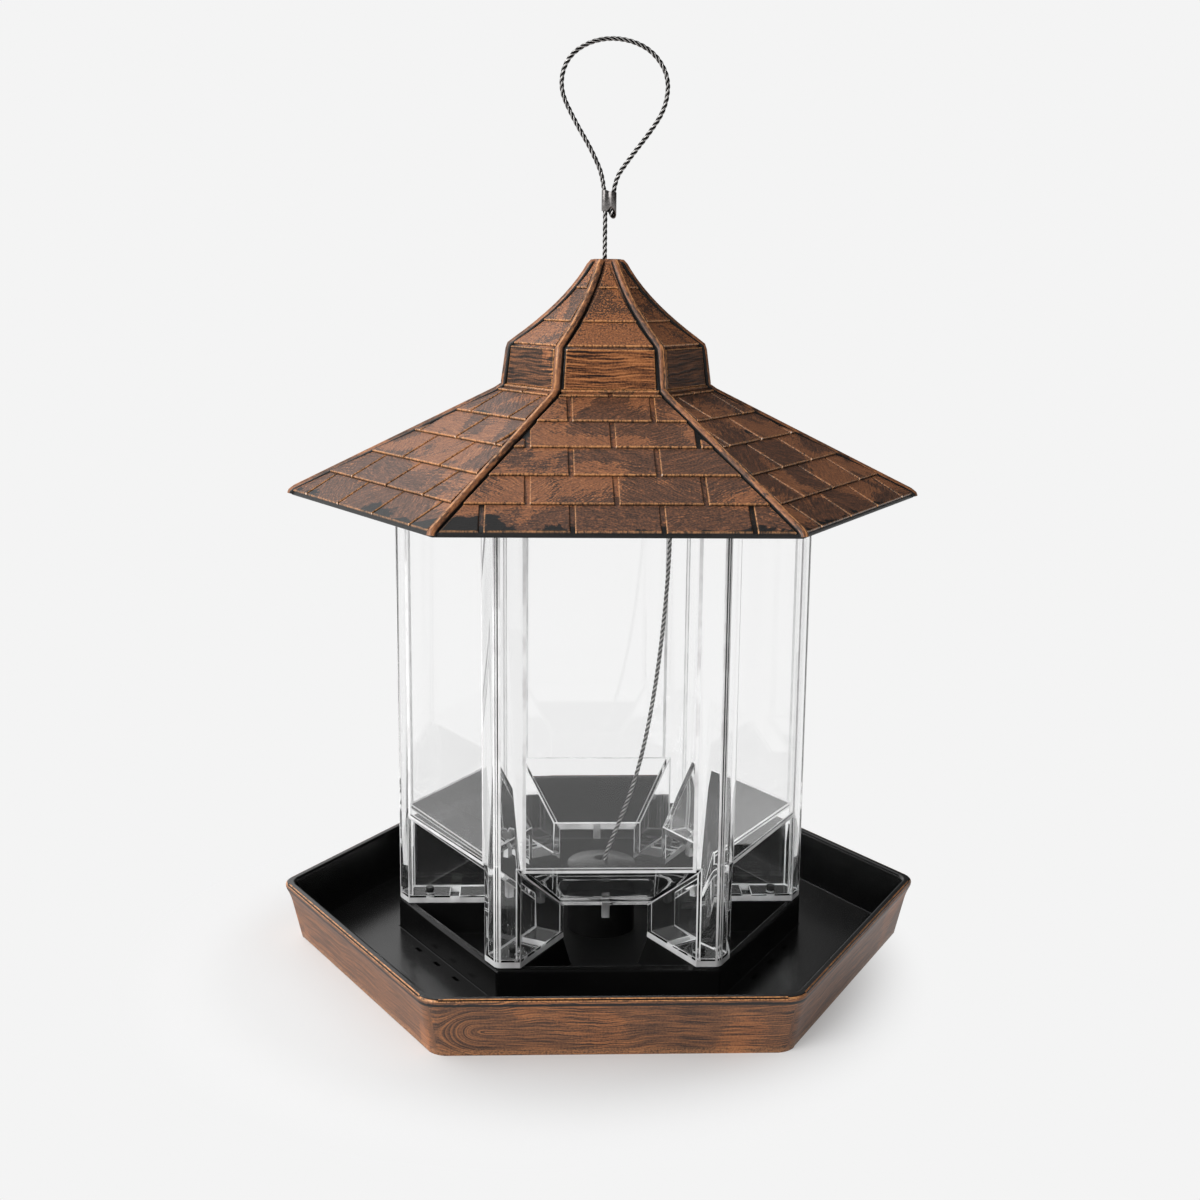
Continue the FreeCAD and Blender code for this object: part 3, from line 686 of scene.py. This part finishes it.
def bead(bm, layers, side):
    # a half-round bead up one ridge, from the eave's corner to the tip, eased round the profile's bends
    sink = roof["beadSink"]
    spine = [(roof["eaveCorner"] - sink * 0.6, roof["eave"] + 0.5),
             (roof["eaveCorner"] - sink, roof["skirtFoot"] - 0.5)]
    spine += [(roof["eaveCorner"] - sink - (roof["eaveCorner"] - roof["drumFootCorner"]) * s,
               roof["skirtFoot"] + (roof["drumFoot"] - roof["skirtFoot"]) * s - sink * 0.6)
              for s in (0.02, 0.2, 0.4, 0.6, 0.8, 0.96)]
    spine += [(roof["drumFootCorner"] - sink + 0.25, roof["drumFoot"] + 0.2),
              (roof["drumFootCorner"] - sink, roof["drumFoot"] + 1.2),
              (roof["drumTopCorner"] - sink, roof["drumTop"] - 1.0),
              (roof["drumTopCorner"] - sink - 0.3, roof["drumTop"] + 0.1)]
    spine += [cupolaPoint(share, sink) for share in (0.06, 0.15, 0.25, 0.35, 0.45, 0.55, 0.65, 0.75, 0.85, 0.92)]
    spine += [(cupolaCorner(0.97) - sink, roof["apex"] - 1.25), (roof["apexCorner"] - sink - 0.5, roof["apex"] - 1.0),
              (roof["apexCorner"] - sink - 1.0, roof["apex"] - 0.9)]
    swell = [1.0] * (len(spine) - 3) + [0.95, 0.75, 0.35]   # the bead closes over the tip
    outward = turned(side, math.sin(sixth / 2), -slant, 0).normalized()
    centres = [turned(side, corner * math.sin(sixth / 2), -corner * slant, z) for corner, z in spine]
    rings, run = [], 0.0
    for n, centre in enumerate(centres):
        heading = (centres[min(n + 1, len(centres) - 1)] - centres[max(n - 1, 0)]).normalized()
        crest = (outward - heading * outward.dot(heading)).normalized()
        across = heading.cross(crest)
        run += (centre - centres[max(n - 1, 0)]).length
        ring = []
        for turn, rubAndHighlight, bareAndShade in beadPaint:
            a = math.radians(turn)
            out = crest * math.cos(a) + across * math.sin(a)
            vert = bm.verts.new(centre + out * roof["beadRadius"] * swell[n] * mm)
            vert[layers["grainPlace"]] = Vector((run * 0.3, turn * 0.00002, 0.75 + 0.1 * side))
            vert[layers["rubAndHighlight"]], vert[layers["bareAndShade"]], vert[layers["worn"]] = rubAndHighlight, bareAndShade, -0.1
            ring.append(vert)
        rings.append(ring)
    joinRings(bm, rings)


# The thin round moulding along the drum's foot, rubbed and painted lighter on top, painted black as shade underneath.
strip = {"radius": 0.55, "out": 0.35, "up": 0.3, "sides": 10, "topRubAndHighlight": 0.7, "topFrom": 0.1, "sideRub": 0.15,
         "underShade": 0.9, "footFrom": 0.3}


def drumStrip(bm, layers, side):
    half = roof["drumFootCorner"] / 2 - roof["beadRadius"]
    first = len(bm.verts)
    flat, z, out = drumAt(strip["up"])
    tube(bm, [turned(side, u, -(flat + strip["out"]), z) for u in (-half, 0.0, half)], strip["radius"] * mm,
         strip["sides"])
    bm.verts.ensure_lookup_table()
    for vert in bm.verts[first:]:
        vert[layers["rubAndHighlight"]] = strip["topRubAndHighlight"] if vert.co.z > (z + strip["topFrom"]) * mm else strip["sideRub"]
        vert[layers["bareAndShade"]] = strip["underShade"] if vert.co.z < (z - strip["footFrom"]) * mm else 0.0
        vert[layers["grainPlace"]] = vert.co + Vector((0.2 * side, 0, 0))


def paintLayers(bm):
    # where the grain lies; how far the paint is rubbed and painted with highlight; how far it is missing and painted
    # with shade; how far worn thin, and how even, for roof and tray
    return {"grainPlace": bm.verts.layers.float_vector.new("grainPlace"),
            "rubAndHighlight": bm.verts.layers.float.new("rubAndHighlight"), "bareAndShade": bm.verts.layers.float.new("bareAndShade"),
            "worn": bm.verts.layers.float.new("worn"), "calm": bm.verts.layers.float.new("calm")}


def shingledRoof():
    bm = bmesh.new()
    layers = paintLayers(bm)
    shell(bm, layers)
    for side in range(sides):
        shingles(bm, layers, side)
        panels(bm, layers, side)
        bead(bm, layers, side)
        drumStrip(bm, layers, side)
    return piece("shingled_roof", toMesh(bm, "shingled_roof"), [roofPaint, cupolaPaint, drumPaint], "roof",
                 ("roof_shell",), 45)


shingledRoof()
print("roof shingled")


# Tray and hopper keep the moulded shapes of the frame, with the small radii that a mould leaves on every edge.
moulded = {"flat": 0.6, "sharp": 24, "bend": 5, "same": 0.05, "near": 0.1, "longEdge": 4}
tray = {"height": 19.0, "lipFoot": 16.0, "footFlat": 101.6 * slant, "topFlat": 105.4 * slant,
        "rimRadius": 0.9, "radius": 0.45, "corner": 7.0, "lipEdge": 17.4, "lipRoot": 14.2, "rootRadius": 1.6,
        "seat": 13.2, "curbRadius": 1.4, "bay": 57.5, "wear": [0.0, 0.0, 0.03, 0.0, 0.0, 0.05],
        "calm": [0.1, 0.5, 0.3, 0.1, 0.3, 0.55], "rimRubAndHighlight": [1.0, 0.35, 0.15, 0.3, 0.2, 0.8], "footRub": 0.3,
        "underLipShade": 0.8, "cuts": [1.2, 2.6, 16.4], "curbEdge": 20, "curbNear": 0.5, "lipPast": 0.5,
        "wallNear": 0.4, "wallFacing": 0.3, "rimBand": 0.75, "lipBand": (0.6, 0.3), "footBand": 1.4,
        "outerPoints": 0.7, "outerFaces": 1.3}   # how far in a point or face still is outside
hopper = {"corner": 67.8, "wall": 2.0, "cornerRadius": 2.6, "radius": 0.3, "seat": 13.2, "floor": 15.2,
          "tab": (20.5, 24.1), "tabHalf": 1.4, "tabReach": 45, "tabFace": 20, "chuteEnd": 40, "footFrom": 64,
          "tall": 60, "column": 8.2, "fold": 0.7, "paneDepth": 0.25, "clearLine": (0.3, 0.75),
          "endFacing": 0.7, "chuteFacing": 0.9}


def plain(node):
    bm = bmesh.new()
    bm.from_mesh(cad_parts[node].data)
    bmesh.ops.remove_doubles(bm, verts=bm.verts, dist=1e-6)
    bmesh.ops.dissolve_limit(bm, angle_limit=math.radians(moulded["flat"]), verts=bm.verts, edges=bm.edges)
    return bm


def roundOff(bm, edges, radius, segments):
    return bmesh.ops.bevel(bm, geom=edges, offset=radius * mm, offset_type="OFFSET", segments=segments, profile=0.5,
                           affect="EDGES", clamp_overlap=False)["faces"]


def sharpEdges(bm, least=moulded["sharp"]):
    return [e for e in bm.edges if e.is_manifold and e.calc_face_angle(0) > math.radians(least)]


def longEdges(bm):
    return [e for e in sharpEdges(bm) if e.calc_length() > moulded["longEdge"] * mm]


def sideOf(point):
    return round((math.atan2(point.y, point.x) + math.pi / 2) / sixth)


def flatOf(point):
    # distance from the middle, square to the nearest of the six sides
    side = sideOf(point)
    return point.x * math.sin(side * sixth) - point.y * math.cos(side * sixth)


def alongOf(point):
    side = sideOf(point)
    return point.x * math.cos(side * sixth) + point.y * math.sin(side * sixth)


def outlineOf(point):
    # the flat distance of the round-cornered six-sided outline through a point
    flat, along, radius = flatOf(point), abs(alongOf(point)), tray["corner"] * mm
    if along <= (flat - radius) * math.tan(sixth / 2):
        return flat
    reach = math.hypot(flat, along)
    off = math.atan2(along, flat) - sixth / 2
    centre = reach * math.cos(off) - math.sqrt(max(radius ** 2 - (reach * math.sin(off)) ** 2, 0))
    return radius + centre * slant


def wallAt(height):
    return tray["footFlat"] + (tray["topFlat"] - tray["footFlat"]) * height / tray["lipFoot"]


def seedTray():
    bm = plain("seed_tray")

    def underLip(vert):
        return abs(vert.co.z / mm - tray["lipFoot"]) < moulded["same"]

    # the lip's step becomes a slope that runs out into the wall
    bmesh.ops.delete(bm, geom=[f for f in bm.faces if all(underLip(v) for v in f.verts)], context="FACES")
    bmesh.ops.bridge_loops(bm, edges=[e for e in bm.edges if e.is_boundary])
    for vert in bm.verts:
        if underLip(vert):
            out = outlineOf(vert.co) / mm
            if out > tray["topFlat"] + tray["lipPast"]:
                vert.co.z = tray["lipEdge"] * mm
            elif abs(out - tray["topFlat"]) < tray["wallNear"]:
                vert.co.xy *= wallAt(tray["lipRoot"]) / out
                vert.co.z = tray["lipRoot"] * mm

    def level(height):
        return [e for e in sharpEdges(bm, moulded["bend"])
                if all(abs(v.co.z / mm - height) < moulded["near"] for v in e.verts)]

    roundOff(bm, level(tray["height"]), tray["rimRadius"], 3)
    roundOff(bm, level(tray["lipEdge"]), tray["radius"], 2)
    roundOff(bm, level(tray["lipRoot"]), tray["rootRadius"], 3)
    curb = [e for e in level(tray["seat"]) if e.calc_length() > tray["curbEdge"] * mm]
    flats = [flatOf((e.verts[0].co + e.verts[1].co) / 2) for e in curb]
    outer = [e for e, flat in zip(curb, flats) if flat > max(flats) - tray["curbNear"] * mm]
    chamfer = roundOff(bm, outer, tray["curbRadius"], 1)
    chamferEdges = {e for face in chamfer for e in face.edges}   # the strip beside them is too narrow to round
    roundOff(bm, [e for e in longEdges(bm) if e not in chamferEdges], tray["radius"], 2)
    for height in tray["cuts"]:
        bmesh.ops.bisect_plane(bm, geom=bm.verts[:] + bm.edges[:] + bm.faces[:], dist=1e-6,
                               plane_co=(0, 0, height * mm), plane_no=(0, 0, 1))
    layers = paintLayers(bm)
    for vert in bm.verts:
        side, height = sideOf(vert.co) % sides, vert.co.z / mm
        vert[layers["grainPlace"]] = Vector((alongOf(vert.co), vert.co.z, 0.2 * side))
        vert[layers["worn"]], vert[layers["calm"]] = tray["wear"][side], tray["calm"][side]
        if outlineOf(vert.co) / mm < wallAt(height) - tray["outerPoints"]:
            continue
        # the rim's top: rubbed paint with a painted highlight, strongest on the front and left-front sides, which face
        # the light; along the lip's lower edge, a painted shadow line
        if height > tray["height"] - tray["rimBand"]:
            vert[layers["rubAndHighlight"]] = tray["rimRubAndHighlight"][side]
        elif -tray["lipBand"][0] < height - tray["lipEdge"] < tray["lipBand"][1]:
            vert[layers["bareAndShade"]] = tray["underLipShade"]
        elif height < tray["footBand"]:
            vert[layers["rubAndHighlight"]] = tray["footRub"]
    for face in bm.faces:
        middle = face.calc_center_median()
        outward = Vector((middle.x, middle.y, 0)).normalized()
        outside = outlineOf(middle) / mm > wallAt(middle.z / mm) - tray["outerFaces"]
        inBay = flatOf(middle) / mm < tray["bay"] and 1 < middle.z / mm < tray["seat"] - moulded["near"]
        onWall = outside and face.normal.dot(outward) > tray["wallFacing"]
        face.material_index = 1 if onWall else 2 if inBay else 0
    return piece("copper_sided_tray", toMesh(bm, "copper_sided_tray"), [blackPlastic, trayPaint, dullPlastic],
                 "base", ("seed_tray",), 40, True)


def clearHopper():
    bm = plain("hopper")

    def upright(corner):
        # the long edges up the six corners, at that distance from the middle
        return [e for e in bm.edges if e.calc_length() > hopper["tall"] * mm
                and all(abs(v.co.xy.length - corner * mm) < moulded["near"] * mm for v in e.verts)
                and math.dist(e.verts[0].co.xy, e.verts[1].co.xy) < moulded["near"] * mm]

    # between the corners each pane lies a little deeper, so a fold runs up beside every corner
    column = hopper["corner"] / 2 - hopper["column"]
    for side in range(sides):
        face = max((f for f in bm.faces if flatOf(f.calc_center_median()) > (hopper["corner"] * slant - 0.2) * mm
                    and sideOf(f.calc_center_median()) % sides == side), key=lambda f: f.calc_area())
        for hand in (-1, 1):
            onPlane = turned(side, hand * column, 0, 0)
            across = turned(side, hand, 0, 0).normalized()
            geom = [face, *face.edges, *face.verts]
            cut = bmesh.ops.bisect_plane(bm, geom=geom, dist=1e-6, plane_co=onPlane, plane_no=across)
            face = max((f for f in cut["geom"] if isinstance(f, bmesh.types.BMFace)), key=lambda f: f.calc_area())
        bmesh.ops.inset_region(bm, faces=[face], thickness=hopper["fold"] * mm, depth=-hopper["paneDepth"] * mm)
    inner = hopper["corner"] - hopper["wall"] / slant
    shrink = math.tan(sixth / 2)
    # the rounded outer corners are painted white for the light they gather, all but a clear line down each
    for face in roundOff(bm, upright(hopper["corner"]), hopper["cornerRadius"] * shrink, 7):
        middle = face.calc_center_median()
        turn = abs(math.remainder(math.atan2(middle.y, middle.x), sixth)) * hopper["corner"]
        face.material_index = 1 if not hopper["clearLine"][0] < turn < hopper["clearLine"][1] else 0
    roundOff(bm, upright(inner), (hopper["cornerRadius"] - hopper["wall"]) * shrink, 3)
    roundFoot = [e for e in sharpEdges(bm) if all(v.co.z < (hopper["seat"] + moulded["near"]) * mm
                                                  and v.co.xy.length > hopper["footFrom"] * mm for v in e.verts)]
    # the rounded feet and long edges are painted white for the light they gather
    for face in roundOff(bm, list({*roundFoot, *longEdges(bm)}), hopper["radius"], 2):
        face.material_index = 1
    bmesh.ops.bisect_plane(bm, geom=bm.verts[:] + bm.edges[:] + bm.faces[:], dist=1e-6,
                           plane_co=(0, 0, hopper["floor"] * mm), plane_no=(0, 0, 1))
    for face in bm.faces:
        middle = face.calc_center_median()
        small = face.calc_area() < hopper["tabFace"] * mm * mm
        onTab = (abs(alongOf(middle)) < hopper["tabHalf"] * mm and flatOf(middle) < hopper["tabReach"] * mm and small
                 and hopper["tab"][0] * mm < middle.z < hopper["tab"][1] * mm)
        toMiddle = -face.normal.dot(Vector((middle.x, middle.y, 0)).normalized())
        # the tabs and the feet's upright faces are painted white for the light they gather, or grey as shade where they
        # face the middle; the chutes' inner ends are painted grey as shade
        if onTab or middle.z < hopper["floor"] * mm and abs(face.normal.z) < 0.5:
            face.material_index = 1 if toMiddle < hopper["endFacing"] else 2
        elif flatOf(middle) < hopper["chuteEnd"] * mm and toMiddle > hopper["chuteFacing"] and not small:
            face.material_index = 2
    return piece("clear_hopper", toMesh(bm, "clear_hopper"), [clearPlastic, paintedGlowEdge, paintedShadeEnd], "base",
                 ("hopper",), 40, True)


seedTray()
clearHopper()
print("tray and hopper moulded")


# A pale studio: a white floor that fades into a white room, lit from the left and from above. Lengths are metres.
studio = {"paper": "#ebebeb", "seen": "#f4f4f4", "reach": 4.0, "drop": 0.00002, "near": 0.087, "far": 0.131,
          "lift": 0.1, "shade": (-0.024, -0.018, 0.0), "brightFrom": (-0.86, 0.40, 0.32), "brightSpread": (0.26, 0.9),
          "dim": 0.26, "dimMirrored": 0.06, "bright": 1.8, "key": 9.2, "keyPlace": (-0.75, -0.75, 0.75),
          "keyAim": (0, 0, 0.12), "keySize": (0.7, 0.7)}


def seenRays(tree, glossy=1.0):
    # the rays that show the pale background: straight to the camera, through clear plastic, or mirrored
    rays = add(tree, "LightPath").outputs
    through = add(tree, "Math", {0: rays["Is Camera Ray"], 1: rays["Is Transmission Ray"]}, operation="MAXIMUM")
    direct = add(tree, "Math", {0: rays["Glossy Depth"], 1: 0.5}, operation="LESS_THAN")
    straight = add(tree, "Math", {0: through, 1: direct}, operation="MULTIPLY")
    mirrored = add(tree, "Math", {0: rays["Is Glossy Ray"], 1: glossy}, operation="MULTIPLY")
    return add(tree, "Math", {0: straight, 1: mirrored}, operation="MAXIMUM")


def paperFloor():
    bm = bmesh.new()
    reach = studio["reach"]
    bm.faces.new([bm.verts.new((x, y, -studio["drop"])) for x, y in ((-reach, -reach), (reach, -reach), (reach, reach),
                                                                     (-reach, reach))])
    material, tree, skin = startMaterial("matt_white_paper")
    place = add(tree, "NewGeometry").outputs["Position"]
    # the glow grows away from a point to the left of and in front of the feeder: painted light that thins the feeder's
    # shadow, most on its right
    distance = add(tree, "VectorMath", {0: place, 1: studio["shade"]}, operation="DISTANCE")
    away = add(tree, "MapRange", {"Value": distance, "From Min": studio["near"], "From Max": studio["far"]},
               interpolation_type="SMOOTHSTEP")
    share = add(tree, "MapRange", {"Value": away, "To Min": studio["lift"], "To Max": 1.0})
    seenFar = add(tree, "Math", {0: share, 1: seenRays(tree)}, operation="MULTIPLY")
    pale = add(tree, "ValToRGB", {"Fac": away}, stops=[(0.0, white), (1.0, studio["seen"])])
    glow = add(tree, "Emission", {"Color": pale, "Strength": 1.0})
    setInputs(tree, skin, {"Base Color": linear(studio["paper"]), "Roughness": 0.9, "Specular IOR Level": 0.0})
    both = add(tree, "MixShader", {0: seenFar, 1: skin, 2: glow})
    setInputs(tree, tree.nodes["Material Output"], {"Surface": both})
    mesh = toMesh(bm, "paper_floor")
    mesh.materials.append(material)
    intoScene("paper_floor", mesh)


def softbox(name, place, aim, size, power):
    data = bpy.data.lights.new(name, "AREA")
    data.shape = "RECTANGLE"
    data.size, data.size_y = size
    data.energy = power
    lamp = intoScene(name, data)
    lamp.location = place
    lamp.rotation_euler = (Vector(aim) - Vector(place)).to_track_quat("-Z", "Y").to_euler()


def lightStudio():
    world = bpy.data.worlds.new("pale_studio")
    bpy.context.scene.world = world
    world.use_nodes = True
    tree = world.node_tree
    heading = add(tree, "TexCoord").outputs["Generated"]
    facing = add(tree, "VectorMath", {0: heading, 1: studio["brightFrom"]}, operation="DOT_PRODUCT")
    side = add(tree, "MapRange", {"Value": facing, "From Min": studio["brightSpread"][0],
                                  "From Max": studio["brightSpread"][1]}, interpolation_type="SMOOTHSTEP")
    mirror = add(tree, "LightPath").outputs["Glossy Depth"]
    dim = add(tree, "MapRange", {"Value": mirror, "To Min": studio["dim"], "To Max": studio["dimMirrored"]})
    level = add(tree, "MapRange", {"Value": side, "To Min": dim, "To Max": studio["bright"]})
    room = add(tree, "Background", {"Color": linear(white), "Strength": level})
    paper = add(tree, "Background", {"Color": linear(studio["seen"]), "Strength": 1.0})
    both = add(tree, "MixShader", {0: seenRays(tree, side), 1: room, 2: paper})
    setInputs(tree, tree.nodes["World Output"], {"Surface": both})
    softbox("left_softbox", studio["keyPlace"], studio["keyAim"], studio["keySize"], studio["key"])


paperFloor()
lightStudio()
bpy.context.scene.view_settings.view_transform = "Standard"
print("studio lit")
